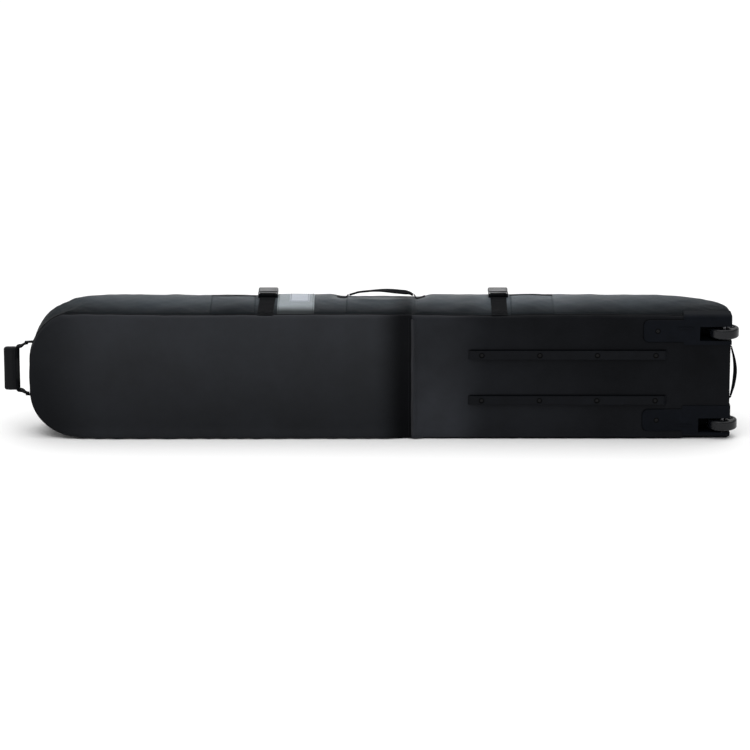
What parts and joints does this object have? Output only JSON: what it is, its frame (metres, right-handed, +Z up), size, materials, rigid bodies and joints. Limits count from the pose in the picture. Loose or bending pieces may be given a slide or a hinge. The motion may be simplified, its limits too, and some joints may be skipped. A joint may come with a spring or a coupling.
{
  "type": "wheeled snowboard bag",
  "caption": "Long padded travel bag for a snowboard: rounded nose, zipped lid, screwed-on base skids, inset end wheels, side-release straps and webbing handles.",
  "frame": {"origin": "centre of the long side the bag lies on, at floor height, half-way along the body's length and depth", "axes": "+X towards the wheel end (nose is -X), -Y out of the base with the skids and wheels (the lid faces +Y), +Z up across the bag's width"},
  "size_m": [1.766, 0.2227, 0.335],
  "materials": {
    "black_fabric": "matte woven polyester",
    "base_tarpaulin": "smooth coated tarpaulin",
    "slate_fabric": "woven polyester with a slight sheen",
    "grey_fabric": "light grey woven polyester",
    "label": "plain light patch",
    "foam": "closed-cell foam with a thin lining",
    "stiff_plastic": "polyethylene sheet",
    "piping": "corded piping",
    "webbing": "ribbed nylon webbing",
    "skid_plastic": "moulded, satin",
    "housing_plastic": "moulded, fine texture",
    "screw_steel": "blackened steel",
    "bearing_steel": "ground steel",
    "tyre": "smooth polyurethane, glossy",
    "hub_plastic": "moulded nylon",
    "zip_tape": "woven tape with a coil",
    "zip_metal": "black enamel",
    "pull_rubber": "moulded",
    "buckle_plastic": "moulded acetal"
  },
  "bodies": {
    "shell": {"base_fabric_nose": "black_fabric", "base_fabric_tail": "base_tarpaulin", "upper_gusset": "slate_fabric", "lower_gusset": "slate_fabric", "nose_gusset": "slate_fabric", "tail_gusset": "slate_fabric", "base_foam_nose": "foam", "base_foam_tail": "foam", "upper_gusset_foam": "foam", "lower_gusset_foam": "foam", "nose_foam": "foam", "base_stiffener_board": "stiff_plastic", "tail_stiffener": "stiff_plastic", "base_piping": "piping", "fold_binding": "piping", "grey_band": "grey_fabric", "blank_label": "label", "nose_stow_pocket": "slate_fabric", "tail_stow_pocket": "slate_fabric", "handle_patch": "slate_fabric", "nose_gusset_strap": "webbing", "tail_gusset_strap": "webbing", "lower_skid_rail": "skid_plastic", "upper_skid_rail": "skid_plastic", "skid_screws": "screw_steel", "housing_screws": "screw_steel", "upper_wheel_housing": "housing_plastic", "lower_wheel_housing": "housing_plastic", "wheel_axles": "bearing_steel", "zip_tape_shell": "zip_tape", "carry_handle_anchors": "webbing", "tail_handle_anchors": "webbing", "haul_anchors": "webbing", "inner_straps": "webbing", "inner_strap_buckles": "buckle_plastic"},
    "upper_wheel": {"upper_tyre": "tyre", "upper_hub": "hub_plastic", "upper_bearings": "bearing_steel"},
    "lower_wheel": {"lower_tyre": "tyre", "lower_hub": "hub_plastic", "lower_bearings": "bearing_steel"},
    "lid": {"lid_fabric": "black_fabric", "lid_foam": "foam", "zip_tape_lid": "zip_tape", "nose_lid_strap": "webbing", "tail_lid_strap": "webbing", "nose_buckle_socket": "buckle_plastic", "tail_buckle_socket": "buckle_plastic"},
    "nose_buckle": {"nose_buckle_plug": "buckle_plastic"},
    "tail_buckle": {"tail_buckle_plug": "buckle_plastic"},
    "nose_slider": {"nose_zip_slider": "zip_metal"},
    "tail_slider": {"tail_zip_slider": "zip_metal"},
    "nose_pull": {"nose_zip_pull": "pull_rubber"},
    "tail_pull": {"tail_zip_pull": "pull_rubber"},
    "carry": {"carry_handle": "webbing"},
    "tail_grab": {"tail_handle": "webbing"},
    "haul": {"haul_webbing": "webbing", "haul_grip": "black_fabric"}
  },
  "joints": [
    {"name": "upper_wheel_spin", "type": "hinge", "parent": "shell", "child": "upper_wheel", "pos_m": [0.825, -0.078, 0.261], "axis": [0, 0, 1], "continuous": true},
    {"name": "lower_wheel_spin", "type": "hinge", "parent": "shell", "child": "lower_wheel", "pos_m": [0.825, -0.078, 0.034], "axis": [0, 0, 1], "continuous": true},
    {"name": "lid_hinge", "type": "hinge", "parent": "shell", "child": "lid", "pos_m": [0, 0.1, 0.015], "axis": [-1, 0, 0], "range_deg": [0, 90]},
    {"name": "nose_buckle_release", "type": "slide", "parent": "shell", "child": "nose_buckle", "axis": [0, -1, 0], "range_m": [0, 0.032]},
    {"name": "tail_buckle_release", "type": "slide", "parent": "shell", "child": "tail_buckle", "axis": [0, -1, 0], "range_m": [0, 0.032]},
    {"name": "nose_zip_slide", "type": "slide", "parent": "lid", "child": "nose_slider", "axis": [-1, 0, 0], "range_m": [0, 0.195]},
    {"name": "tail_zip_slide", "type": "slide", "parent": "lid", "child": "tail_slider", "axis": [1, 0, 0], "range_m": [0, 0.195]},
    {"name": "nose_pull_swing", "type": "hinge", "parent": "nose_slider", "child": "nose_pull", "pos_m": [-0.036, 0.1062, 0.279], "axis": [0, 0, 1], "range_deg": [0, 120]},
    {"name": "tail_pull_swing", "type": "hinge", "parent": "tail_slider", "child": "tail_pull", "pos_m": [0.036, 0.1062, 0.279], "axis": [0, 0, -1], "range_deg": [0, 120]},
    {"name": "carry_handle_swing", "type": "hinge", "parent": "shell", "child": "carry", "pos_m": [0, 0.06, 0.32], "axis": [1, 0, 0], "range_deg": [-55, 55]},
    {"name": "tail_handle_swing", "type": "hinge", "parent": "shell", "child": "tail_grab", "pos_m": [0.845, -0.072, 0], "axis": [0, 0, 1], "range_deg": [-38, 38]},
    {"name": "haul_loop_swing", "type": "hinge", "parent": "shell", "child": "haul", "pos_m": [-0.85, -0.065, 0], "axis": [0, 0, 1], "range_deg": [-60, 60]}
  ]
}
